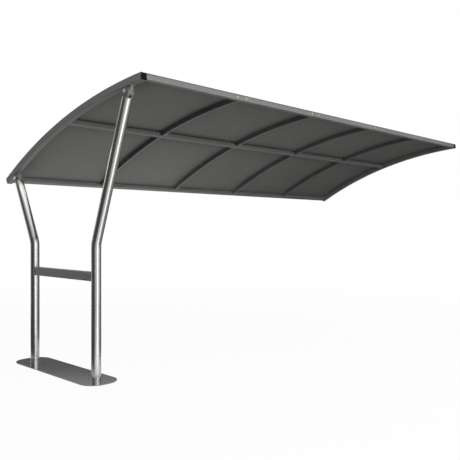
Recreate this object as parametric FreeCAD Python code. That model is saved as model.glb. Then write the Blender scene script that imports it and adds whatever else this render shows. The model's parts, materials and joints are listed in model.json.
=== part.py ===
import FreeCAD, Part
import math
import os

# Bicycle shelter, extension bay: a long arched roof carried at its left end
# by a frame of two bent tubular posts on one base plate.
# Millimetres. X runs along the roof, Y to the low rear edge, Z up.
# The origin is the middle of the underside of the base plate.

# Roof outline: the top face of the end arches is one arc
bay_length = 1000.0
bay_count = 5
roof_depth = 2080.5
roof_offset = -43.25
front_edge_height = 2263.1
arc_radius = 4928.0
front_slope_angle = 4.03
middle_purlin_setback = 1057.5
sheet_thickness = 1.5
sheet_joint = 0.4
sheet_play = 0.3

# Square tube of the end arches and its plastic caps
arch_size = 50.0
arch_wall = 2.5
arch_edge_cut = 2.5
cap_plate = 3.0
cap_plug_length = 15.0
cap_play = 0.3

# Tube along the front edge
front_tube_height = 43.0
front_tube_depth = 40.0
front_tube_wall = 2.0

# Middle and rear purlins
purlin_width = 40.0
purlin_depth = 40.0
purlin_wall = 2.0
tube_corner = 3.0

# Ribs and the cleats that their ends are screwed to
rib_width = 30.0
rib_depth = 40.0
rib_wall = 2.0
rib_edge_cut = 1.5
cleat_width = 124.0
cleat_height = 34.0
cleat_thickness = 5.0

# Posts
post_spacing = 970.0
post_diameter = 76.0
post_wall = 2.5
knee_height = 1054.0
front_head_setback = 162.5
rear_head_setback = 178.4
bend_radius = 160.0
head_length = 88.0

# Base plate
base_length = 1262.0
base_width = 306.0
base_corner = 130.0
base_thickness = 6.0

# Fork heads, lugs and pivot bolts
head_disc_thickness = 6.0
cheek_thickness = 8.0
cheek_width = 62.0
cheek_gap = 28.0
lug_play = 1.0
lug_pad_length = 76.0
lug_pad_width = 44.0
lug_pad_thickness = 6.0
bolt_drop = 46.0
bolt_diameter = 12.0
bolt_play = 0.3
bolt_head_across = 19.0
bolt_head_height = 8.0

# Crossbar
bar_top_height = 836.0
bar_height = 70.0
bar_depth = 60.0
bar_wall = 3.0
bar_corner = 4.0

os.makedirs("parts", exist_ok=True)

# Values worked out from the sizes above
roof_length = bay_length * bay_count
arch_half = arch_size / 2
front_edge_y = roof_offset - roof_depth / 2
rear_edge_y = roof_offset + roof_depth / 2
front_turn = math.radians(front_slope_angle)
arc_centre_y = front_edge_y - arc_radius * math.sin(front_turn)
arc_centre_z = front_edge_height - arc_radius * math.cos(front_turn)
soffit_radius = arc_radius - arch_size
base_top = base_thickness
x_axis = FreeCAD.Vector(1, 0, 0)
z_axis = FreeCAD.Vector(0, 0, 1)


def save(name, shape):
    shape.exportStep("parts/" + name + ".step")


def vec(x, y, z):
    return FreeCAD.Vector(x, y, z)


# Turn, in degrees from upright, at which a circle about the roof axis reaches a plan position.
def turn_at(y, radius=arc_radius):
    return math.degrees(math.asin((y - arc_centre_y) / radius))


def turn_for(length, radius=arc_radius):
    return math.degrees(length / radius)


# Unit vector from the roof axis out to the arc.
def outward(turn):
    return vec(0, math.sin(math.radians(turn)), math.cos(math.radians(turn)))


def on_arc(radius, turn, x=0.0):
    return vec(x, arc_centre_y, arc_centre_z) + outward(turn) * radius


# Face with rounded corners, given its middle, two directions and its sizes.
def rounded_face(middle, along, across, length, width, corner):
    bow = corner * (1 - math.sqrt(0.5))
    half_l = length / 2
    half_w = width / 2

    def at(a, b):
        return middle + along * a + across * b

    edges = []
    for sign_l, sign_w in ((1, 1), (-1, 1), (-1, -1), (1, -1)):
        side = at(sign_l * half_l, sign_w * (half_w - corner))
        tip = at(sign_l * (half_l - bow), sign_w * (half_w - bow))
        top = at(sign_l * (half_l - corner), sign_w * half_w)
        first, last = (side, top) if sign_l * sign_w > 0 else (top, side)
        if edges:
            edges.append(Part.makeLine(edges[-1].Vertexes[-1].Point, first))
        edges.append(Part.Arc(first, tip, last).toShape())
    edges.append(Part.makeLine(edges[-1].Vertexes[-1].Point, edges[0].Vertexes[0].Point))
    return Part.Face(Part.Wire(edges))


# Rectangular face, given its middle, two directions and its sizes.
def plain_face(middle, along, across, length, width):
    half_l = along * (length / 2)
    half_w = across * (width / 2)
    far_side = middle + half_w
    near_side = middle - half_w
    corners = [far_side + half_l, far_side - half_l, near_side - half_l, near_side + half_l]
    return Part.Face(Part.makePolygon(corners + corners[:1]))


# Rectangular face with its four corners cut off at 45 degrees.
def bevelled_face(middle, along, across, length, width, edge_cut):
    corners = []
    for a, b in ((1, 1), (-1, 1), (-1, -1), (1, -1)):
        side = middle + along * (a * length / 2) + across * (b * (width / 2 - edge_cut))
        top = middle + along * (a * (length / 2 - edge_cut)) + across * (b * width / 2)
        corners += [side, top] if a * b > 0 else [top, side]
    return Part.Face(Part.makePolygon(corners + corners[:1]))


# Carries a face round the roof axis, from its own turn towards the rear.
def sweep_back(face, turn_span):
    return face.revolve(vec(0, arc_centre_y, arc_centre_z), -x_axis, turn_span)


# Curved solid of rectangular section under the arc.
def arc_bar(x_middle, width, top_radius, depth, turn_from, turn_to):
    middle = on_arc(top_radius - depth / 2, turn_from, x_middle)
    face = plain_face(middle, x_axis, outward(turn_from), width, depth)
    return sweep_back(face, turn_to - turn_from)


# Curved rectangular tube under the arc, open at both ends and with bevelled edges.
def arc_tube(x_middle, width, depth, wall, edge_cut, turn_from, turn_to):
    middle = on_arc(arc_radius - depth / 2, turn_from, x_middle)
    face = bevelled_face(middle, x_axis, outward(turn_from), width, depth, edge_cut)
    past = turn_for(wall)
    bore = arc_bar(
        x_middle, width - 2 * wall, arc_radius - wall, depth - 2 * wall, turn_from - past, turn_to + past
    )
    return sweep_back(face, turn_to - turn_from).cut(bore)


# Straight rectangular tube along the roof, turned to the slope of the arc, just clear of the sheets.
def roof_tube(turn, width, depth, wall, corner):
    out = outward(turn)
    back = vec(0, out.z, -out.y)
    middle = on_arc(arc_radius - sheet_play - depth / 2, turn, arch_half)
    length = roof_length - arch_size
    tube = rounded_face(middle, back, out, width, depth, corner).extrude(x_axis * length)
    bore = plain_face(middle - x_axis * wall, back, out, width - 2 * wall, depth - 2 * wall)
    return tube.cut(bore.extrude(x_axis * (length + 2 * wall)))


# Turns of the roof members, from front to rear
front_turn_degrees = front_slope_angle
rear_turn = turn_at(rear_edge_y)
front_tube_turn = front_turn_degrees + turn_for(cap_plate + front_tube_depth / 2)
rear_purlin_turn = rear_turn - turn_for(purlin_width / 2)
middle_purlin_turn = turn_at(front_edge_y + middle_purlin_setback)

# End arches and the caps in their four ends
arch_start = front_turn_degrees + turn_for(cap_plate)
arch_end = rear_turn - turn_for(cap_plate)
plug_turn = turn_for(cap_plug_length)
plug_size = arch_size - 2 * (arch_wall + cap_play)
plug_radius = arc_radius - arch_wall - cap_play
cap_ends = {
    "front": (front_turn_degrees, arch_start, arch_start, arch_start + plug_turn),
    "rear": (arch_end, rear_turn, arch_end - plug_turn, arch_end),
}
for side, x in (("left", 0.0), ("right", roof_length)):
    arch = arc_tube(x, arch_size, arch_size, arch_wall, arch_edge_cut, arch_start, arch_end)
    save(side + "_end_arch", arch)
    for end, (plate_from, plate_to, plug_from, plug_to) in cap_ends.items():
        middle = on_arc(arc_radius - arch_half, plate_from, x)
        plate = bevelled_face(middle, x_axis, outward(plate_from), arch_size, arch_size, arch_edge_cut)
        plate = sweep_back(plate, plate_to - plate_from)
        plug = arc_bar(x, plug_size, plug_radius, plug_size, plug_from, plug_to)
        save(side + "_" + end + "_cap", plate.fuse(plug))

# Front edge tube and purlins between the end arches
front_tube = roof_tube(front_tube_turn, front_tube_depth, front_tube_height, front_tube_wall, tube_corner)
save("front_edge_tube", front_tube)
for place, turn in (("middle", middle_purlin_turn), ("rear", rear_purlin_turn)):
    save(place + "_purlin", roof_tube(turn, purlin_width, purlin_depth, purlin_wall, tube_corner))


# Flat cleat standing on the front or back face of a straight roof tube.
def cleat(x, turn, tube_width, tube_depth, facing):
    out = outward(turn)
    back = vec(0, out.z, -out.y)
    face_offset = facing * tube_width / 2
    middle = on_arc(arc_radius - sheet_play - tube_depth / 2, turn, x) + back * face_offset
    plate = plain_face(middle, x_axis, out, cleat_width, cleat_height)
    return plate.extrude(back * (facing * cleat_thickness))


# Ribs in two lengths, each starting and ending at a cleat or a tube face
half_purlin = turn_for(purlin_width / 2)
cleat_turn = turn_for(cleat_thickness)
front_rib_start = front_tube_turn + turn_for(front_tube_depth / 2) + cleat_turn
front_rib_end = middle_purlin_turn - half_purlin - cleat_turn
rear_rib_start = middle_purlin_turn + half_purlin
rear_rib_end = rear_purlin_turn - half_purlin - cleat_turn
rib_spans = {
    "front": (front_rib_start, front_rib_end),
    "rear": (rear_rib_start, rear_rib_end),
}
for number in range(1, bay_count):
    x = bay_length * number
    for place, (rib_start, rib_end) in rib_spans.items():
        rib = arc_tube(x, rib_width, rib_depth, rib_wall, rib_edge_cut, rib_start, rib_end)
        save("rib_%d_%s" % (number, place), rib)
    save("front_cleat_%d" % number, cleat(x, front_tube_turn, front_tube_depth, front_tube_height, 1))
    save("middle_cleat_%d" % number, cleat(x, middle_purlin_turn, purlin_width, purlin_depth, -1))
    save("rear_cleat_%d" % number, cleat(x, rear_purlin_turn, purlin_width, purlin_depth, -1))

# Roof sheets, one to a bay, meeting over the ribs
for number in range(bay_count):
    sheet_from = bay_length * number + sheet_joint / 2
    sheet_to = bay_length * (number + 1) - sheet_joint / 2
    if number == 0:
        sheet_from = -arch_half
    if number == bay_count - 1:
        sheet_to = roof_length + arch_half
    sheet = arc_bar(
        (sheet_from + sheet_to) / 2,
        sheet_to - sheet_from,
        arc_radius + sheet_thickness,
        sheet_thickness,
        front_turn_degrees,
        rear_turn,
    )
    save("roof_sheet_%d" % (number + 1), sheet)

# Base plate
base_outline = rounded_face(vec(0, 0, 0), x_axis, vec(0, 1, 0), base_width, base_length, base_corner)
save("base_plate", base_outline.extrude(z_axis * base_thickness))


# Centre line of a post: upright run, bend and leaning run.
def post_path(knee, lean_way, run):
    tangent = bend_radius * math.tan(lean_way.getAngle(z_axis) / 2)
    bend_start = knee - z_axis * tangent
    bend_end = knee + lean_way * tangent
    centre = bend_start + vec(0, math.copysign(bend_radius, lean_way.y), 0)
    towards_knee = (knee - centre).normalize()
    edges = [
        Part.makeLine(vec(0, knee.y, base_top), bend_start),
        Part.Arc(bend_start, centre + towards_knee * bend_radius, bend_end).toShape(),
        Part.makeLine(bend_end, knee + lean_way * run),
    ]
    return Part.Wire(edges)


def sweep_round(path, diameter):
    ring = Part.Wire([Part.makeCircle(diameter / 2, path.Vertexes[0].Point, z_axis)])
    return path.makePipeShell([ring], True, False)


# Flat link with one straight end and one end rounded about the pivot.
def link_plate(pivot, way, length, width, thickness, x_start):
    side = way.cross(x_axis)
    foot = pivot - way * length
    half = side * (width / 2)
    outline = Part.Wire([
        Part.makeLine(foot - half, foot + half),
        Part.makeLine(foot + half, pivot + half),
        Part.Arc(pivot + half, pivot + way * (width / 2), pivot - half).toShape(),
        Part.makeLine(pivot - half, foot - half),
    ])
    plate = Part.Face(outline).extrude(x_axis * thickness)
    plate.translate(x_axis * x_start)
    return plate


def hexagon_block(centre, across, height, way):
    radius = across / math.sqrt(3)
    corners = []
    for corner in range(6):
        turn = math.radians(60 * corner)
        corners.append(centre + vec(0, radius * math.cos(turn), radius * math.sin(turn)))
    return Part.Face(Part.makePolygon(corners + corners[:1])).extrude(x_axis * (way * height))


# Posts, with the head, lug and bolt that join each one to the left end arch.
# The leaning run points at a spot on the underside of the arch, set back from the roof edge.
fork_half = cheek_gap / 2 + cheek_thickness
lug_thickness = cheek_gap - 2 * lug_play
post_places = {
    "front": (-post_spacing / 2, front_edge_y + front_head_setback),
    "rear": (post_spacing / 2, rear_edge_y - rear_head_setback),
}
for place, (foot_y, soffit_y) in post_places.items():
    knee = vec(0, foot_y, knee_height)
    soffit_turn = turn_at(soffit_y, soffit_radius)
    soffit = on_arc(soffit_radius, soffit_turn)
    lean_way = (soffit - knee).normalize()
    tube_run = (soffit - knee).Length - head_length
    path = post_path(knee, lean_way, tube_run)
    post = sweep_round(path, post_diameter).cut(sweep_round(path, post_diameter - 2 * post_wall))
    save(place + "_post", post)

    pivot = soffit - lean_way * bolt_drop
    disc_foot = knee + lean_way * tube_run
    disc_top = disc_foot + lean_way * head_disc_thickness
    hole_radius = bolt_diameter / 2 + bolt_play
    hole = Part.makeCylinder(hole_radius, 2 * fork_half + 2, pivot - x_axis * (fork_half + 1), x_axis)

    head = Part.makeCylinder(post_diameter / 2, head_disc_thickness, disc_foot, lean_way)
    cheek_length = (pivot - disc_top).Length
    for x_start in (-fork_half, cheek_gap / 2):
        head = head.fuse(link_plate(pivot, lean_way, cheek_length, cheek_width, cheek_thickness, x_start))
    save(place + "_post_head", head.cut(hole))

    pad_half = turn_for(lug_pad_length / 2, soffit_radius)
    pad_from = soffit_turn - pad_half
    pad_to = soffit_turn + pad_half
    pad = arc_bar(0, lug_pad_width, soffit_radius, lug_pad_thickness, pad_from, pad_to)
    tongue_length = bolt_drop + cheek_width / 2
    tongue = link_plate(pivot, -lean_way, tongue_length, cheek_width, lug_thickness, -lug_thickness / 2)
    arch_from = pad_from - pad_half
    arch_to = pad_to + pad_half
    above = arc_bar(0, lug_pad_width, soffit_radius + arch_size, arch_size, arch_from, arch_to)
    save(place + "_lug", tongue.cut(above).fuse(pad).cut(hole))

    shank = Part.makeCylinder(bolt_diameter / 2, 2 * fork_half, pivot - x_axis * fork_half, x_axis)
    bolt = shank
    for way_x in (-1, 1):
        end = pivot + x_axis * (way_x * fork_half)
        bolt = bolt.fuse(hexagon_block(end, bolt_head_across, bolt_head_height, way_x))
    save(place + "_bolt", bolt)

# Crossbar: a box tube whose ends are cut to the round of the posts
bar_middle = vec(0, -post_spacing / 2, bar_top_height - bar_height / 2)
y_axis = vec(0, 1, 0)
bar_end = rounded_face(bar_middle, x_axis, z_axis, bar_depth, bar_height, bar_corner)
bar = bar_end.extrude(y_axis * post_spacing)
bore = plain_face(bar_middle - y_axis, x_axis, z_axis, bar_depth - 2 * bar_wall, bar_height - 2 * bar_wall)
bar = bar.cut(bore.extrude(y_axis * (post_spacing + 2)))
for way in (-1, 1):
    bar = bar.cut(Part.makeCylinder(post_diameter / 2, knee_height, vec(0, way * post_spacing / 2, 0)))
save("crossbar", bar)
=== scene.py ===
import json
import math
import bpy
from mathutils import Matrix, Vector


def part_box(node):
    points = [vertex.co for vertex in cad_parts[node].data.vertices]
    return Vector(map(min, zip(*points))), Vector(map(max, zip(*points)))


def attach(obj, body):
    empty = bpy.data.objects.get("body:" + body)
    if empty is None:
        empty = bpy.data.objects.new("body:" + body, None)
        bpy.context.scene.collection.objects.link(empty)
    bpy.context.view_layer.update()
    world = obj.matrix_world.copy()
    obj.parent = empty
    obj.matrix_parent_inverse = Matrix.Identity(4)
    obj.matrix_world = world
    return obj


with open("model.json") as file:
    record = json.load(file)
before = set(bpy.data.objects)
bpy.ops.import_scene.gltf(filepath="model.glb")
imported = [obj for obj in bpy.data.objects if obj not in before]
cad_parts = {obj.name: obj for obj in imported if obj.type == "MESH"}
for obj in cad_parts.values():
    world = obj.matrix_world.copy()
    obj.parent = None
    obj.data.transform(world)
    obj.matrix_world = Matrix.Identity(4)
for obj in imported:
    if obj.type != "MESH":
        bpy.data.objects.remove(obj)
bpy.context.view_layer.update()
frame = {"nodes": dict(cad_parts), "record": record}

# Bicycle shelter, extension bay. Metres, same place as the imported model.
smoothAngle = 35
nodes = frame["nodes"]
print("stage: frame loaded,", len(nodes), "solids")


# Small helpers for modelling.
def deselectAll():
    if bpy.context.object and bpy.context.object.mode != "OBJECT":
        bpy.ops.object.mode_set(mode="OBJECT")
    bpy.ops.object.select_all(action="DESELECT")


def nameStart(name):
    # the primitive just added gets its name, and its place goes into the mesh
    piece = bpy.context.object
    piece.name = name
    piece.data.name = name
    bpy.ops.object.transform_apply(location=True, rotation=True, scale=True)
    return piece


def pickFaces(piece, test):
    # edit mode with only the faces that pass the test selected
    bpy.ops.object.mode_set(mode="EDIT")
    bpy.ops.mesh.select_mode(type="FACE")
    bpy.ops.mesh.select_all(action="DESELECT")
    bpy.ops.object.mode_set(mode="OBJECT")
    for face in piece.data.polygons:
        face.select = test(face)
    bpy.ops.object.mode_set(mode="EDIT")


def pickVertices(piece, test):
    bpy.ops.object.mode_set(mode="EDIT")
    bpy.ops.mesh.select_mode(type="VERT")
    bpy.ops.mesh.select_all(action="DESELECT")
    bpy.ops.object.mode_set(mode="OBJECT")
    for vertex in piece.data.vertices:
        vertex.select = test(vertex)
    bpy.ops.object.mode_set(mode="EDIT")


def growFace(step, shrink=1.0, about=None):
    # extrudes the selected face along step, then narrows it about a point
    bpy.ops.mesh.extrude_region_move(TRANSFORM_OT_translate={"value": step})
    if shrink != 1.0:
        bpy.ops.transform.resize(value=(shrink, shrink, shrink), center_override=about)


def smoothByAngle(piece, degrees):
    deselectAll()
    piece.select_set(True)
    bpy.context.view_layer.objects.active = piece
    bpy.ops.object.shade_smooth_by_angle(angle=math.radians(degrees))


def cutOut(piece, cutter):
    cut = piece.modifiers.new("cut", "BOOLEAN")
    cut.operation = "DIFFERENCE"
    cut.solver = "EXACT"
    cut.object = cutter
    bpy.context.view_layer.objects.active = piece
    bpy.ops.object.modifier_apply(modifier=cut.name)
    bpy.data.objects.remove(cutter)


def copyAlong(piece, name, places):
    # one copy with its own mesh at each x, in place of the first piece
    copies = []
    for x in places:
        twin = piece.copy()
        twin.data = piece.data.copy()
        twin.name = name
        twin.data.name = name
        twin.data.transform(Matrix.Translation((x, 0, 0)))
        bpy.context.scene.collection.objects.link(twin)
        copies.append(twin)
    bpy.data.objects.remove(piece)
    return copies


def joinAll(pieces, name):
    deselectAll()
    for piece in pieces:
        piece.select_set(True)
    bpy.context.view_layer.objects.active = pieces[0]
    if len(pieces) > 1:
        bpy.ops.object.join()
    joined = bpy.context.object
    joined.name = name
    joined.data.name = name
    return joined


# Shared effects, as node groups.
def newGroup(name, inputs, outputs):
    group = bpy.data.node_groups.new(name, "ShaderNodeTree")
    for label, kind, value in inputs:
        socket = group.interface.new_socket(name=label, in_out="INPUT", socket_type=kind)
        socket.default_value = value
    for label, kind in outputs:
        group.interface.new_socket(name=label, in_out="OUTPUT", socket_type=kind)
    return group, group.nodes.new("NodeGroupInput"), group.nodes.new("NodeGroupOutput")


def makeMath(tree, operation, first, second=None, third=None, clamp=False):
    node = tree.nodes.new("ShaderNodeMath")
    node.operation = operation
    node.use_clamp = clamp
    for slot, value in enumerate((first, second, third)):
        if value is None:
            continue
        if isinstance(value, (int, float)):
            node.inputs[slot].default_value = value
        else:
            tree.links.new(value, node.inputs[slot])
    return node.outputs[0]


def makeNoise(tree, vector, scale, detail=3.0, rough=0.5):
    node = tree.nodes.new("ShaderNodeTexNoise")
    node.inputs["Detail"].default_value = detail
    node.inputs["Roughness"].default_value = rough
    if isinstance(scale, (int, float)):
        node.inputs["Scale"].default_value = scale
    else:
        tree.links.new(scale, node.inputs["Scale"])
    tree.links.new(vector, node.inputs["Vector"])
    return node.outputs["Fac"]


def makeRange(tree, value, low, high, to=(0.0, 1.0)):
    node = tree.nodes.new("ShaderNodeMapRange")
    node.inputs["From Min"].default_value = low
    node.inputs["From Max"].default_value = high
    node.inputs["To Min"].default_value = to[0]
    node.inputs["To Max"].default_value = to[1]
    tree.links.new(value, node.inputs["Value"])
    return node.outputs["Result"]


# orange peel and fine grit of a powder coat
grainShape = {
    "peel": (1.5, 0.4), "grit": (1.0, 0.5), "gritScale": 3.7, "gritShare": 0.35, "shade": (0.45, 0.95),
}


def makePowderGrain():
    group, given, out = newGroup(
        "powderGrain",
        [("Vector", "NodeSocketVector", (0, 0, 0)), ("Scale", "NodeSocketFloat", 900.0)],
        [("Height", "NodeSocketFloat"), ("Shade", "NodeSocketFloat")],
    )
    place, scale = given.outputs["Vector"], given.outputs["Scale"]
    peel = makeNoise(group, place, scale, *grainShape["peel"])
    gritScale = makeMath(group, "MULTIPLY", scale, grainShape["gritScale"])
    grit = makeNoise(group, place, gritScale, *grainShape["grit"])
    both = makeMath(group, "MULTIPLY_ADD", grit, grainShape["gritShare"], peel)
    group.links.new(both, out.inputs["Height"])
    group.links.new(makeRange(group, both, *grainShape["shade"]), out.inputs["Shade"])
    return group


# wide soft patches and finer blotches, from 0 to 1
weatherShape = {
    "wide": (4.0, 0.55), "fine": (5.0, 0.6), "fineScale": 14.0,
    "patches": (0.3, 0.7), "blotches": (0.4, 0.75),
}


def makeWeathering():
    group, given, out = newGroup(
        "weathering",
        [("Vector", "NodeSocketVector", (0, 0, 0)), ("Scale", "NodeSocketFloat", 2.5)],
        [("Patches", "NodeSocketFloat"), ("Blotches", "NodeSocketFloat")],
    )
    place, scale = given.outputs["Vector"], given.outputs["Scale"]
    wide = makeNoise(group, place, scale, *weatherShape["wide"])
    fineScale = makeMath(group, "MULTIPLY", scale, weatherShape["fineScale"])
    fine = makeNoise(group, place, fineScale, *weatherShape["fine"])
    group.links.new(makeRange(group, wide, *weatherShape["patches"]), out.inputs["Patches"])
    group.links.new(makeRange(group, fine, *weatherShape["blotches"]), out.inputs["Blotches"])
    return group


# 1 along sharp edges, broken up by noise
wearShape = {
    "samples": 4, "turned": (0.02, 0.2), "noiseScale": 60.0, "noise": (5.0, 0.65), "breaks": (0.35, 0.65),
}


def makeEdgeWear():
    group, given, out = newGroup(
        "edgeWear",
        [
            ("Vector", "NodeSocketVector", (0, 0, 0)),
            ("Width", "NodeSocketFloat", 0.0015),
            ("Amount", "NodeSocketFloat", 0.6),
        ],
        [("Mask", "NodeSocketFloat")],
    )
    soft = group.nodes.new("ShaderNodeBevel")
    soft.samples = wearShape["samples"]
    group.links.new(given.outputs["Width"], soft.inputs["Radius"])
    plain = group.nodes.new("ShaderNodeNewGeometry")
    dot = group.nodes.new("ShaderNodeVectorMath")
    dot.operation = "DOT_PRODUCT"
    group.links.new(soft.outputs["Normal"], dot.inputs[0])
    group.links.new(plain.outputs["Normal"], dot.inputs[1])
    turned = makeMath(group, "SUBTRACT", 1.0, dot.outputs["Value"])
    edge = makeRange(group, turned, *wearShape["turned"])
    chips = makeNoise(group, given.outputs["Vector"], wearShape["noiseScale"], *wearShape["noise"])
    breakUp = makeRange(group, chips, *wearShape["breaks"])
    worn = makeMath(group, "MULTIPLY", edge, breakUp)
    mask = makeMath(group, "MULTIPLY", worn, given.outputs["Amount"], clamp=True)
    group.links.new(mask, out.inputs["Mask"])
    return group


# settles on faces that look up
dustShape = {"up": (0.2, 0.95), "noiseScale": 9.0, "noise": (6.0, 0.6), "cloud": (0.3, 0.75)}


def makeDust():
    group, given, out = newGroup(
        "dust",
        [("Vector", "NodeSocketVector", (0, 0, 0)), ("Amount", "NodeSocketFloat", 0.3)],
        [("Mask", "NodeSocketFloat")],
    )
    place = group.nodes.new("ShaderNodeNewGeometry")
    split = group.nodes.new("ShaderNodeSeparateXYZ")
    group.links.new(place.outputs["Normal"], split.inputs[0])
    up = makeRange(group, split.outputs["Z"], *dustShape["up"])
    drift = makeNoise(group, given.outputs["Vector"], dustShape["noiseScale"], *dustShape["noise"])
    settled = makeMath(group, "MULTIPLY", up, makeRange(group, drift, *dustShape["cloud"]))
    mask = makeMath(group, "MULTIPLY", settled, given.outputs["Amount"], clamp=True)
    group.links.new(mask, out.inputs["Mask"])
    return group


# painted shade where pieces meet, from ambient occlusion, thinning out with distance and broken up by noise;
# less of it towards the rear edge, where light reaches in
nookShadeShape = {
    "samples": 8, "power": 0.50, "noiseScale": 14.0, "noise": (4.0, 0.6),
    "cloud": (0.25, 0.7), "cloudTo": (0.85, 1.0), "openRearY": (0.80, 0.95), "openRearTo": (1.0, 0.35),
}


def makePaintedNookShade():
    group, given, out = newGroup(
        "paintedNookShade",
        [
            ("Vector", "NodeSocketVector", (0, 0, 0)),
            ("Reach", "NodeSocketFloat", 0.2),
            ("Amount", "NodeSocketFloat", 0.6),
        ],
        [("Mask", "NodeSocketFloat")],
    )
    nookShadeNode = group.nodes.new("ShaderNodeAmbientOcclusion")
    nookShadeNode.samples = nookShadeShape["samples"]
    group.links.new(given.outputs["Reach"], nookShadeNode.inputs["Distance"])
    hidden = makeMath(group, "SUBTRACT", 1.0, nookShadeNode.outputs["AO"], clamp=True)
    spread = makeMath(group, "POWER", hidden, nookShadeShape["power"])
    shadeNoise = makeNoise(group, given.outputs["Vector"], nookShadeShape["noiseScale"], *nookShadeShape["noise"])
    cloud = makeRange(group, shadeNoise, *nookShadeShape["cloud"], nookShadeShape["cloudTo"])
    split = group.nodes.new("ShaderNodeSeparateXYZ")
    group.links.new(given.outputs["Vector"], split.inputs[0])
    openRear = makeRange(group, split.outputs["Y"], *nookShadeShape["openRearY"], nookShadeShape["openRearTo"])
    mask = makeMath(group, "MULTIPLY", makeMath(group, "MULTIPLY", spread, cloud), openRear)
    mask = makeMath(group, "MULTIPLY", mask, given.outputs["Amount"], clamp=True)
    group.links.new(mask, out.inputs["Mask"])
    return group


# fine lines that run along the tube: a noise drawn out along one axis
brushShape = {
    "fine": (2.0, 0.6), "coarse": (2.0, 0.5), "coarseScale": 0.31, "coarseShare": 0.5, "shade": (0.55, 0.95),
}


def makeBrushed():
    group, given, out = newGroup(
        "brushedLines",
        [("Vector", "NodeSocketVector", (0, 0, 0)), ("Scale", "NodeSocketFloat", 1.0)],
        [("Height", "NodeSocketFloat"), ("Shade", "NodeSocketFloat")],
    )
    place, scale = given.outputs["Vector"], given.outputs["Scale"]
    fine = makeNoise(group, place, scale, *brushShape["fine"])
    coarseScale = makeMath(group, "MULTIPLY", scale, brushShape["coarseScale"])
    coarse = makeNoise(group, place, coarseScale, *brushShape["coarse"])
    both = makeMath(group, "MULTIPLY_ADD", coarse, brushShape["coarseShare"], fine)
    group.links.new(both, out.inputs["Height"])
    group.links.new(makeRange(group, both, *brushShape["shade"]), out.inputs["Shade"])
    return group


powderGrain = makePowderGrain()
weathering = makeWeathering()
edgeWear = makeEdgeWear()
dust = makeDust()
paintedNookShade = makePaintedNookShade()
brushedLines = makeBrushed()


# Materials.
def newMaterial(name):
    material = bpy.data.materials.new(name)
    material.use_nodes = True
    tree = material.node_tree
    shader = tree.nodes["Principled BSDF"]
    place = tree.nodes.new("ShaderNodeTexCoord")
    return material, tree, shader, place.outputs["Object"]


def placeGroup(tree, group, vector, **values):
    node = tree.nodes.new("ShaderNodeGroup")
    node.node_tree = group
    tree.links.new(vector, node.inputs["Vector"])
    for label, value in values.items():
        node.inputs[label].default_value = value
    return node


def blendColour(tree, mask, first, second):
    node = tree.nodes.new("ShaderNodeMix")
    node.data_type = "RGBA"
    tree.links.new(mask, node.inputs["Factor"])
    for socket, value in ((node.inputs["A"], first), (node.inputs["B"], second)):
        if isinstance(value, (tuple, list)):
            socket.default_value = (*value, 1.0)
        else:
            tree.links.new(value, socket)
    return node.outputs["Result"]


def addBump(tree, shader, height, depth):
    bump = tree.nodes.new("ShaderNodeBump")
    bump.inputs["Distance"].default_value = depth
    bump.inputs["Strength"].default_value = 1.0
    tree.links.new(height, bump.inputs["Height"])
    tree.links.new(bump.outputs["Normal"], shader.inputs["Normal"])


# what the paints share; each one below names only what it changes
# the last entry sets how much painted shade goes into corners and where parts meet; 0 leaves it out
plainPaint = {
    "speckColour": (0.17, 0.168, 0.162), "specks": 0.25,
    "wornColour": (0.24, 0.236, 0.228), "dustColour": (0.22, 0.215, 0.205),
    "rough": (0.38, 0.46), "dustRough": 0.3, "gloss": 0.30, "lacquer": 0.0, "lacquerRough": 0.10,
    "grain": 700.0, "bump": 0.00002, "wearWidth": 0.0015, "wear": 0.45, "dust": 0.15, "paintedShade": 0.0,
}


def makePaint(name, changes):
    paint = {**plainPaint, **changes}
    material, tree, shader, place = newMaterial(name)
    grain = placeGroup(tree, powderGrain, place, Scale=paint["grain"])
    weather = placeGroup(tree, weathering, place, Scale=paint["patchScale"])
    wear = placeGroup(tree, edgeWear, place, Width=paint["wearWidth"], Amount=paint["wear"])
    dirt = placeGroup(tree, dust, place, Amount=paint["dust"])
    colour = blendColour(tree, weather.outputs["Patches"], paint["dark"], paint["light"])
    specks = makeMath(tree, "MULTIPLY", grain.outputs["Shade"], paint["specks"])
    colour = blendColour(tree, specks, colour, paint["speckColour"])
    colour = blendColour(tree, wear.outputs["Mask"], colour, paint["wornColour"])
    colour = blendColour(tree, dirt.outputs["Mask"], colour, paint["dustColour"])
    # painted shade: darkens the colour towards near black where ambient occlusion finds parts close by
    if paint["paintedShade"]:
        nookShadeNode = placeGroup(tree, paintedNookShade, place, Reach=paint["nookReach"], Amount=paint["paintedShade"])
        colour = blendColour(tree, nookShadeNode.outputs["Mask"], colour, paint["nookShadeColour"])
    tree.links.new(colour, shader.inputs["Base Color"])
    rough = makeRange(tree, weather.outputs["Blotches"], 0.0, 1.0, paint["rough"])
    rough = makeMath(tree, "MULTIPLY_ADD", dirt.outputs["Mask"], paint["dustRough"], rough, clamp=True)
    tree.links.new(rough, shader.inputs["Roughness"])
    shader.inputs["Specular IOR Level"].default_value = paint["gloss"]
    shader.inputs["Coat Weight"].default_value = paint["lacquer"]
    shader.inputs["Coat Roughness"].default_value = paint["lacquerRough"]
    addBump(tree, shader, grain.outputs["Height"], paint["bump"])
    return material


# frame paint, with a little painted shade where parts meet
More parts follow.
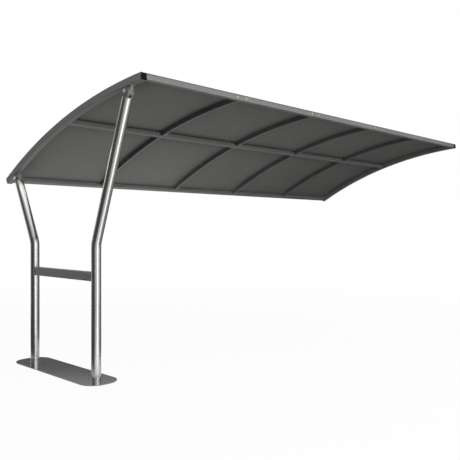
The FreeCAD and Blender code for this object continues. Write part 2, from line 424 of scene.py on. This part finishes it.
framePaint = makePaint("framePaint", {
    "dark": (0.136, 0.134, 0.130), "light": (0.156, 0.154, 0.149), "speckColour": (0.19, 0.188, 0.182),
    "patchScale": 2.2, "paintedShade": 0.35, "nookReach": 0.08, "nookShadeColour": (0.014, 0.014, 0.0135),
})
# roof paint, with strong painted shade beside the ribs, purlins and arches, standing in for their shadows on
# the sheet
roofPaint = makePaint("roofPaint", {
    "dark": (0.120, 0.118, 0.114), "light": (0.134, 0.132, 0.127),
    "speckColour": (0.155, 0.153, 0.148), "specks": 0.18,
    "wornColour": (0.22, 0.217, 0.21), "dustColour": (0.21, 0.205, 0.195),
    "rough": (0.42, 0.50), "gloss": 0.08, "grain": 520.0, "patchScale": 1.1,
    "wearWidth": 0.0010, "wear": 0.4, "dust": 0.20,
    "paintedShade": 1.0, "nookReach": 0.28, "nookShadeColour": (0.008, 0.008, 0.0077),
})
# a lighter copy of the frame paint: painted light that makes the crossbar come out a shade lighter
barLitPaint = makePaint("barLitPaint", {
    "dark": (0.165, 0.162, 0.157), "light": (0.185, 0.182, 0.176), "speckColour": (0.21, 0.207, 0.20),
    "wornColour": (0.26, 0.256, 0.248), "patchScale": 4.0,
})
# a darker copy of the frame paint with strong painted shade, which makes the ribs' sides under the roof come
# out darker
ribShadedPaint = makePaint("ribShadedPaint", {
    "dark": (0.118, 0.116, 0.112), "light": (0.136, 0.134, 0.129), "gloss": 0.25, "patchScale": 2.6,
    "paintedShade": 0.85, "nookReach": 0.12, "nookShadeColour": (0.010, 0.010, 0.0096),
})
basePaint = makePaint("basePaint", {
    "dark": (0.150, 0.147, 0.142), "light": (0.180, 0.177, 0.170),
    "speckColour": (0.21, 0.206, 0.20), "specks": 0.22,
    "wornColour": (0.24, 0.236, 0.226), "dustColour": (0.21, 0.205, 0.195),
    "rough": (0.13, 0.19), "gloss": 0.50, "lacquer": 1.0, "grain": 600.0, "patchScale": 5.0,
    "wearWidth": 0.0020, "wear": 0.5, "dust": 0.08, "bump": 0.00001,
})
bracketPaint = makePaint("bracketPaint", {
    "dark": (0.112, 0.110, 0.106), "light": (0.136, 0.134, 0.129), "wornColour": (0.30, 0.295, 0.285),
    "rough": (0.36, 0.44), "gloss": 0.35, "grain": 900.0, "patchScale": 12.0,
    "wearWidth": 0.0012, "wear": 0.6, "dust": 0.12,
})
screwPaint = makePaint("screwPaint", {
    "dark": (0.030, 0.030, 0.029), "light": (0.042, 0.041, 0.040), "speckColour": (0.06, 0.06, 0.058),
    "wornColour": (0.20, 0.197, 0.19), "dustColour": (0.14, 0.137, 0.13),
    "rough": (0.36, 0.46), "gloss": 0.20, "grain": 1500.0, "patchScale": 30.0,
    "wearWidth": 0.0005, "wear": 0.5, "dust": 0.10, "bump": 0.00001,
})


def makeSteel(name, steel):
    material, tree, shader, place = newMaterial(name)
    stretch = tree.nodes.new("ShaderNodeMapping")
    stretch.inputs["Scale"].default_value = steel["stretch"]
    tree.links.new(place, stretch.inputs["Vector"])
    lines = placeGroup(tree, brushedLines, stretch.outputs["Vector"], Scale=1.0)
    weather = placeGroup(tree, weathering, place, Scale=steel["patchScale"])
    wear = placeGroup(tree, edgeWear, place, Width=steel["wearWidth"], Amount=steel["wear"])
    colour = blendColour(tree, weather.outputs["Patches"], steel["dark"], steel["light"])
    lineMask = makeMath(tree, "MULTIPLY", lines.outputs["Shade"], steel["lineMix"])
    colour = blendColour(tree, lineMask, colour, steel["lineColour"])
    colour = blendColour(tree, wear.outputs["Mask"], colour, steel["wornColour"])
    tree.links.new(colour, shader.inputs["Base Color"])
    rough = makeRange(tree, weather.outputs["Blotches"], 0.0, 1.0, steel["rough"])
    rough = makeMath(tree, "MULTIPLY_ADD", lines.outputs["Shade"], steel["lineRough"], rough, clamp=True)
    tree.links.new(rough, shader.inputs["Roughness"])
    shader.inputs["Metallic"].default_value = 1.0
    addBump(tree, shader, lines.outputs["Height"], steel["bump"])
    return material


postSteel = makeSteel("postSteel", {
    "dark": (0.40, 0.394, 0.382), "light": (0.43, 0.423, 0.41), "wornColour": (0.55, 0.54, 0.525),
    "lineColour": (0.37, 0.364, 0.353), "lineMix": 0.5, "lineRough": 0.05, "rough": (0.24, 0.27),
    "stretch": (700.0, 700.0, 9.0), "patchScale": 4.0, "wearWidth": 0.0012, "wear": 0.3,
    "bump": 0.0000008,
})
smallSteel = {
    "lineMix": 0.3, "lineRough": 0.05, "stretch": (1500.0, 1500.0, 1500.0), "patchScale": 30.0,
    "wearWidth": 0.0006, "wear": 0.5, "bump": 0.000004,
}
screwSteel = makeSteel("screwSteel", {
    **smallSteel, "dark": (0.80, 0.79, 0.77), "light": (0.90, 0.89, 0.87),
    "lineColour": (0.74, 0.73, 0.71), "wornColour": (0.92, 0.91, 0.89), "rough": (0.18, 0.28),
})
boltSteel = makeSteel("boltSteel", {
    **smallSteel, "dark": (0.48, 0.472, 0.455), "light": (0.60, 0.59, 0.57),
    "lineColour": (0.44, 0.43, 0.415), "wornColour": (0.72, 0.71, 0.69), "rough": (0.24, 0.34),
})


def makePlastic(name, plastic):
    material, tree, shader, place = newMaterial(name)
    grain = placeGroup(tree, powderGrain, place, Scale=plastic["grain"])
    weather = placeGroup(tree, weathering, place, Scale=plastic["patchScale"])
    wear = placeGroup(tree, edgeWear, place, Width=plastic["wearWidth"], Amount=plastic["wear"])
    colour = blendColour(tree, weather.outputs["Patches"], plastic["dark"], plastic["light"])
    colour = blendColour(tree, wear.outputs["Mask"], colour, plastic["wornColour"])
    tree.links.new(colour, shader.inputs["Base Color"])
    rough = makeRange(tree, weather.outputs["Blotches"], 0.0, 1.0, plastic["rough"])
    tree.links.new(rough, shader.inputs["Roughness"])
    shader.inputs["Specular IOR Level"].default_value = plastic["gloss"]
    addBump(tree, shader, grain.outputs["Height"], plastic["bump"])
    return material


capPlastic = makePlastic("capPlastic", {
    "dark": (0.0025, 0.0025, 0.0025), "light": (0.006, 0.006, 0.006), "wornColour": (0.03, 0.03, 0.029),
    "rough": (0.45, 0.60), "gloss": 0.05, "grain": 800.0, "patchScale": 20.0,
    "wearWidth": 0.001, "wear": 0.4, "bump": 0.00004,
})

slotMaterials = {
    "post_steel": postSteel,
    "bracket_paint": bracketPaint,
    "bolt_steel": boltSteel,
    "cap_plastic": capPlastic,
    "roof_paint": roofPaint,
    "frame_paint": framePaint,
    "base_paint": basePaint,
}
for part in frame["record"]["subparts"]:
    for slot in nodes[part["node"]].material_slots:
        slot.material = slotMaterials[part["material_slot"]]
    # the ribs take the darker copy of the frame paint, which paints shade on them
    if part["node"].startswith("rib_"):
        nodes[part["node"]].material_slots[0].material = ribShadedPaint
# the crossbar takes the lighter copy of the frame paint, which paints light on it
nodes["crossbar"].material_slots[0].material = barLitPaint  # the bar is a shade lighter in the photo
print("stage: materials")


def finishPiece(piece, slotName, smooth=smoothAngle, material=None):
    smoothByAngle(piece, smooth)
    piece.data.materials.clear()
    piece.data.materials.append(material or slotMaterials[slotName])
    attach(piece, "root")
    return piece


# Roof arc, as the solids have it.
roof = {
    "radius": 4.928,
    "centreY": -1.43005,
    "centreZ": -2.65269,
    "ribs": [1.0, 2.0, 3.0, 4.0],
}


def arcPoint(turn, depth=0.0, x=0.0):
    reach = roof["radius"] - depth
    return Vector((x, roof["centreY"] + reach * math.sin(turn), roof["centreZ"] + reach * math.cos(turn)))


def arcTurn(y):
    return math.asin((y - roof["centreY"]) / roof["radius"])


def outwardAt(turn):
    return Vector((0, math.sin(turn), math.cos(turn)))


def forwardAt(turn):
    return Vector((0, -math.cos(turn), math.sin(turn)))


# Domed screw with a hexagon socket, standing on a face at spot and looking along normal.
screwSides = 24
socketSides = 6
sameWay = 0.9  # a face counts as looking along normal from this cosine on


def makeDomedScrew(name, spot, normal, screw):
    facing = normal.to_track_quat("Z", "Y").to_euler()
    deselectAll()
    bpy.ops.mesh.primitive_cylinder_add(
        vertices=screwSides, radius=screw["radius"], depth=screw["rim"], end_fill_type="NGON",
        location=spot + normal * (screw["rim"] / 2), rotation=facing,
    )
    piece = nameStart(name)
    pickFaces(piece, lambda face: face.normal.dot(normal) > sameWay)
    for rise, shrink in screw["dome"]:
        growFace(normal * rise, shrink, spot)
    bpy.ops.object.mode_set(mode="OBJECT")
    height = screw["rim"] + sum(rise for rise, shrink in screw["dome"])
    deselectAll()
    bpy.ops.mesh.primitive_cylinder_add(
        vertices=socketSides, radius=screw["socket"], depth=2 * screw["socketDepth"], end_fill_type="NGON",
        location=spot + normal * height, rotation=facing,
    )
    cutOut(piece, nameStart("socketCutter"))
    return piece


# Flat washer with a chamfered edge.
washerShape = {"sides": 32, "inset": 0.12, "rise": 0.12}


def makeWasher(name, spot, normal, radius, thickness):
    facing = normal.to_track_quat("Z", "Y").to_euler()
    deselectAll()
    bpy.ops.mesh.primitive_cylinder_add(
        vertices=washerShape["sides"], radius=radius, depth=thickness, end_fill_type="NGON",
        location=spot + normal * (thickness / 2), rotation=facing,
    )
    piece = nameStart(name)
    pickFaces(piece, lambda face: face.normal.dot(normal) > sameWay)
    bpy.ops.mesh.inset(thickness=radius * washerShape["inset"])
    bpy.ops.transform.translate(value=normal * (thickness * washerShape["rise"]))
    bpy.ops.object.mode_set(mode="OBJECT")
    return piece


def makeFixing(name, spot, normal, fixing):
    # a screw on its washer
    washer = makeWasher("washer", spot, normal, fixing["washer"], fixing["washerThick"])
    screw = makeDomedScrew("screw", spot + normal * fixing["washerThick"], normal, fixing)
    return joinAll([screw, washer], name)


def bothSides(spread):
    # a place on each side of every rib line
    return [x + side * spread for x in roof["ribs"] for side in (-1, 1)]


# Screws on the front edge tube, a pair at each rib.
frontScrew = {
    "radius": 0.0070, "rim": 0.0012, "dome": [(0.0013, 0.93), (0.0010, 0.84), (0.0006, 0.72)],
    "socket": 0.0029, "socketDepth": 0.0022, "spread": 0.050, "drop": 0.0218, "stand": 0.020,
}
tubeLow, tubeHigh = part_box("front_edge_tube")
tubeTurn = arcTurn(0.5 * (tubeLow.y + tubeHigh.y))
facing = forwardAt(tubeTurn)
frontSpot = arcPoint(tubeTurn, frontScrew["drop"]) + facing * frontScrew["stand"]
screw = makeDomedScrew("frontScrew", frontSpot, facing, frontScrew)
screws = copyAlong(screw, "frontScrewCopy", bothSides(frontScrew["spread"]))
finishPiece(joinAll(screws, "frontTubeScrews"), "bolt_steel", material=screwSteel)
print("stage: front screws")

# Screws and washers on the cleats of both purlins.
cleatScrew = {
    "radius": 0.0070, "rim": 0.0020, "dome": [(0.0030, 0.95), (0.0018, 0.84), (0.0010, 0.68)],
    "socket": 0.0029, "socketDepth": 0.0024, "spread": 0.050, "stand": 0.0025,
    "washer": 0.0115, "washerThick": 0.0020,
}
for place in ("middle", "rear"):
    low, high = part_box("%s_cleat_1" % place)
    face = forwardAt(arcTurn(0.5 * (low.y + high.y)))
    centre = 0.5 * (low + high)
    centre.x = 0.0
    fixing = makeFixing("cleatFixing", centre + face * cleatScrew["stand"], face, cleatScrew)
    copies = copyAlong(fixing, "cleatFixingCopy", bothSides(cleatScrew["spread"]))
    finishPiece(joinAll(copies, "%sCleatScrews" % place), "bolt_steel")
print("stage: cleat screws")

# Weld beads round the feet of the posts.
footWeld = {
    "postRadius": 0.038, "ring": 0.0386, "bead": 0.0024, "beadSides": 10, "height": 0.0062,
    "ripples": 56, "stepsPerRipple": 3, "ripple": 0.0005, "rippleShare": 0.4, "smooth": 60,
}
for place in ("front", "rear"):
    low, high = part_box("%s_post" % place)
    footY = low.y + footWeld["postRadius"] if place == "rear" else high.y - footWeld["postRadius"]
    deselectAll()
    bpy.ops.mesh.primitive_torus_add(
        location=(0, footY, footWeld["height"]),
        major_radius=footWeld["ring"], minor_radius=footWeld["bead"],
        major_segments=footWeld["ripples"] * footWeld["stepsPerRipple"],
        minor_segments=footWeld["beadSides"],
    )
    bead = nameStart("%sFootWeld" % place)
    step = 2 * math.pi / footWeld["ripples"]
    crest = step * footWeld["rippleShare"]
    pickVertices(bead, lambda v: math.atan2(v.co.y - footY, v.co.x) % step < crest)
    bpy.ops.transform.shrink_fatten(value=footWeld["ripple"])
    bpy.ops.object.mode_set(mode="OBJECT")
    finishPiece(bead, "post_steel", footWeld["smooth"])
print("stage: foot welds")

# Screws that hold the crossbar.
barScrew = {
    "radius": 0.0055, "rim": 0.0010, "dome": [(0.0012, 0.93), (0.0009, 0.80)],
    "socket": 0.0025, "socketDepth": 0.0016, "height": 0.799, "reach": 0.424,
}
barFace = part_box("crossbar")[0].x
barScrews = []
for side in (-1, 1):
    spot = Vector((barFace, side * barScrew["reach"], barScrew["height"]))
    barScrews.append(makeDomedScrew("barScrew", spot, Vector((-1, 0, 0)), barScrew))
finishPiece(joinAll(barScrews, "crossbarScrews"), "frame_paint", material=screwPaint)
print("stage: crossbar screws")

# Washers under the heads and nuts of the pivot bolts.
pivotWasher = {"radius": 0.0150, "thickness": 0.0016}
washers = []
for place in ("front", "rear"):
    boltLow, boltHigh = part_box("%s_bolt" % place)
    headLow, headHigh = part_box("%s_post_head" % place)
    cheekFace = {-1: headLow.x, 1: headHigh.x}
    middle = 0.5 * (boltLow + boltHigh)
    for side in (-1, 1):
        spot = Vector((cheekFace[side], middle.y, middle.z))
        outward = Vector((side, 0, 0))
        washers.append(makeWasher("pivotWasher", spot, outward, *pivotWasher.values()))
finishPiece(joinAll(washers, "pivotWashers"), "bolt_steel")
print("stage: pivot washers")

# Roofing screws with sealing washers on the upper side, beside each line where sheets meet.
roofScrew = {
    "radius": 0.0052, "rim": 0.0010, "dome": [(0.0008, 0.92), (0.0006, 0.78)],
    "socket": 0.0022, "socketDepth": 0.0010, "washer": 0.0085, "washerThick": 0.0010,
    "lines": [0.020, 0.985, 1.015, 1.985, 2.015, 2.985, 3.015, 3.985, 4.015, 4.980],
    "firstY": -0.960, "lastY": 0.930, "count": 9,
}
firstTurn = arcTurn(roofScrew["firstY"])
turnStep = (arcTurn(roofScrew["lastY"]) - firstTurn) / (roofScrew["count"] - 1)
rowPieces = []
for row in range(roofScrew["count"]):
    turn = firstTurn + row * turnStep
    rowPieces.append(makeFixing("roofFixing", arcPoint(turn), outwardAt(turn), roofScrew))
copies = copyAlong(joinAll(rowPieces, "roofScrewLine"), "roofScrewCopy", roofScrew["lines"])
finishPiece(joinAll(copies, "roofScrews"), "bolt_steel")
print("stage: roof screws")

# Floor, lights, camera.
studio = {
    "floorSize": 120, "floorHeight": -0.0005,
    "floorColour": (0.88, 0.88, 0.875), "floorRough": 0.9, "floorGloss": 0.1,
    "floorWhite": 0.96, "whiteFrom": 2.5, "whiteTo": 9.0,  # share of plain white, 1 far out
    "ambient": 0.0,
    # grey cards that show only in gloss, round the posts and at their foot
    "cards": {
        "backLowCard": {"at": (5.3, 5.3, 0.71), "tilt": (90, 0, 135), "size": (13.0, 1.42), "grey": 0.17},
        "backMidCard": {"at": (5.3, 5.3, 1.64), "tilt": (90, 0, 135), "size": (13.0, 0.44), "grey": 0.05},
        "backHighCard": {"at": (5.3, 5.3, 2.33), "tilt": (90, 0, 135), "size": (13.0, 0.94), "grey": 0.30},
        "backFootCard": {"at": (5.05, 2.2, 0.012), "tilt": (0, 0, 0), "size": (8.3, 6.4), "grey": 0.10},
        "rightCard": {"at": (7.5, -1.75, 1.4), "tilt": (90, 0, 90), "size": (6.5, 2.8), "grey": 0.17},
        "rightFootCard": {"at": (5.1, -2.75, 0.006), "tilt": (0, 0, 0), "size": (5.8, 3.5), "grey": 0.45},
        "leftCard": {"at": (-2.6, 1.3, 1.6), "tilt": (90, 0, 90), "size": (6.3, 3.2), "grey": 0.10},
        "leftFootCard": {"at": (-1.5, 1.5, 0.012), "tilt": (0, 0, 0), "size": (2.6, 3.4), "grey": 0.10},
        "slantFootCard": {"at": (-2.85, -0.475, 0.010), "tilt": (0, 0, 35), "size": (4.2, 3.0), "grey": 0.10},
        "nearFootCard": {"at": (-5.1, -3.5, 0.004), "tilt": (0, 0, 0), "size": (5.8, 3.0), "grey": 0.60},
        "frontFootCard": {"at": (0.7, -2.4, 0.008), "tilt": (0, 0, 0), "size": (3.0, 3.2), "grey": 0.42},
    },
    # soft lamps that light the paint, the last one for the upper side of the roof
    "lamps": {
        "frontLamp": {
            "at": (2.2, -7.9, 2.3), "aim": (1.5, 0, 1.2), "size": (5.0, 3.0), "power": 350,
        },
        "sideLamp": {
            "at": (-2.7, -5.9, 4.6), "aim": (1.5, 0, 1.2), "size": (5.0, 3.0), "power": 360,
        },
        "lowLamp": {
            "at": (1.2, 1.2, 0.05), "aim": (1.2, 1.21, 1.0), "size": (2.4, 1.6), "power": 26,
        },
        "topLamp": {
            "at": (2.35, 0.05, 3.3), "aim": (2.35, 0.04, 2.2), "size": (5.2, 2.0), "power": 34,
        },
    },
    # bright strips that show only in gloss: before and between the posts, at their foot, under the roof
    "strips": {
        "postStrip": {
            "at": (0.05, -2.3, 1.2), "aim": (0.0, 0.0, 1.2), "size": (0.9, 2.4), "power": 18,
        },
        "rearStrip": {
            "at": (-0.21, -0.30, 0.75), "aim": (-0.21, 0.5, 0.75), "size": (0.25, 1.5), "power": 2.4,
        },
        "footStrip": {
            "at": (-0.10, -1.6, 0.015), "aim": (-0.10, -1.59, 1.0), "size": (1.1, 1.7), "power": 11,
        },
        "upperStrip": {
            "at": (0.05, 0.30, 1.78), "aim": (0.05, 0.0, 0.83), "size": (0.5, 0.8), "power": 2.2,
        },
    },
}


deselectAll()
bpy.ops.mesh.primitive_plane_add(size=studio["floorSize"], location=(0, 0, studio["floorHeight"]))
floor = bpy.context.object
floor.name = "floor"


def whiteRays(tree):
    # camera, glossy and transmission rays, which see plain white
    rays = tree.nodes.new("ShaderNodeLightPath")
    seen = makeMath(tree, "MAXIMUM", rays.outputs["Is Camera Ray"], rays.outputs["Is Glossy Ray"])
    return makeMath(tree, "MAXIMUM", seen, rays.outputs["Is Transmission Ray"])


def makeFloorMaterial():
    material = bpy.data.materials.new("paleFloor")
    material.use_nodes = True
    tree = material.node_tree
    shader = tree.nodes["Principled BSDF"]
    shader.inputs["Base Color"].default_value = (*studio["floorColour"], 1)
    shader.inputs["Roughness"].default_value = studio["floorRough"]
    shader.inputs["Specular IOR Level"].default_value = studio["floorGloss"]
    glow = tree.nodes.new("ShaderNodeEmission")
    glow.inputs["Color"].default_value = (1, 1, 1, 1)
    place = tree.nodes.new("ShaderNodeTexCoord")
    reach = tree.nodes.new("ShaderNodeVectorMath")
    reach.operation = "LENGTH"
    tree.links.new(place.outputs["Object"], reach.inputs[0])
    share = makeRange(
        tree, reach.outputs["Value"], studio["whiteFrom"], studio["whiteTo"], (studio["floorWhite"], 1.0),
    )
    mask = makeMath(tree, "MULTIPLY", whiteRays(tree), share)
    mix = tree.nodes.new("ShaderNodeMixShader")
    tree.links.new(mask, mix.inputs["Fac"])
    tree.links.new(shader.outputs[0], mix.inputs[1])
    tree.links.new(glow.outputs[0], mix.inputs[2])
    tree.links.new(mix.outputs[0], tree.nodes["Material Output"].inputs["Surface"])
    return material


floor.data.materials.append(makeFloorMaterial())


def makeCard(name, card):
    # stays out of the view and of the lamps' way, and shows only in gloss
    deselectAll()
    bpy.ops.mesh.primitive_plane_add(
        size=1, location=card["at"], rotation=[math.radians(turn) for turn in card["tilt"]],
    )
    sheet = bpy.context.object
    sheet.name = name
    sheet.scale = (*card["size"], 1)
    sheet.visible_camera = False
    sheet.visible_diffuse = False
    sheet.visible_shadow = False
    material = bpy.data.materials.new(name)
    material.use_nodes = True
    shader = material.node_tree.nodes["Principled BSDF"]
    shader.inputs["Base Color"].default_value = (0, 0, 0, 1)
    shader.inputs["Specular IOR Level"].default_value = 0.0
    shader.inputs["Emission Color"].default_value = (*[card["grey"]] * 3, 1)
    shader.inputs["Emission Strength"].default_value = 1.0
    sheet.data.materials.append(material)


for name, card in studio["cards"].items():
    makeCard(name, card)


def makeWorld():
    world = bpy.data.worlds.new("studio")
    bpy.context.scene.world = world
    world.use_nodes = True
    tree = world.node_tree
    ambient = tree.nodes["Background"]
    ambient.inputs["Color"].default_value = (1, 1, 1, 1)
    ambient.inputs["Strength"].default_value = studio["ambient"]
    white = tree.nodes.new("ShaderNodeBackground")
    white.inputs["Color"].default_value = (1, 1, 1, 1)
    mix = tree.nodes.new("ShaderNodeMixShader")
    tree.links.new(whiteRays(tree), mix.inputs["Fac"])
    tree.links.new(ambient.outputs[0], mix.inputs[1])
    tree.links.new(white.outputs[0], mix.inputs[2])
    tree.links.new(mix.outputs[0], tree.nodes["World Output"].inputs["Surface"])


makeWorld()


def addLamp(name, lamp):
    data = bpy.data.lights.new(name, "AREA")
    data.shape = "RECTANGLE"
    data.size, data.size_y = lamp["size"]
    data.energy = lamp["power"]
    lampObject = bpy.data.objects.new(name, data)
    bpy.context.scene.collection.objects.link(lampObject)
    lampObject.location = lamp["at"]
    towards = Vector(lamp["aim"]) - Vector(lamp["at"])
    lampObject.rotation_euler = towards.to_track_quat("-Z", "Y").to_euler()
    lampObject.visible_camera = False
    return lampObject


for name, lamp in studio["lamps"].items():
    addLamp(name, lamp).visible_glossy = False
for name, strip in studio["strips"].items():
    addLamp(name, strip).visible_diffuse = False

view = {"at": (-2.5753, -4.4627, 1.1696), "yaw": 44.53, "pitch": -0.1, "lens": 47.05, "sensor": 36.0}
cameraData = bpy.data.cameras.new("camera")
cameraData.lens = view["lens"]
cameraData.sensor_width = view["sensor"]
camera = bpy.data.objects.new("camera", cameraData)
bpy.context.scene.collection.objects.link(camera)
camera.location = view["at"]
camera.rotation_euler = (math.radians(90 + view["pitch"]), 0, math.radians(view["yaw"] - 90))
bpy.context.scene.camera = camera

bpy.context.scene.view_settings.view_transform = "Standard"
print("stage: studio")
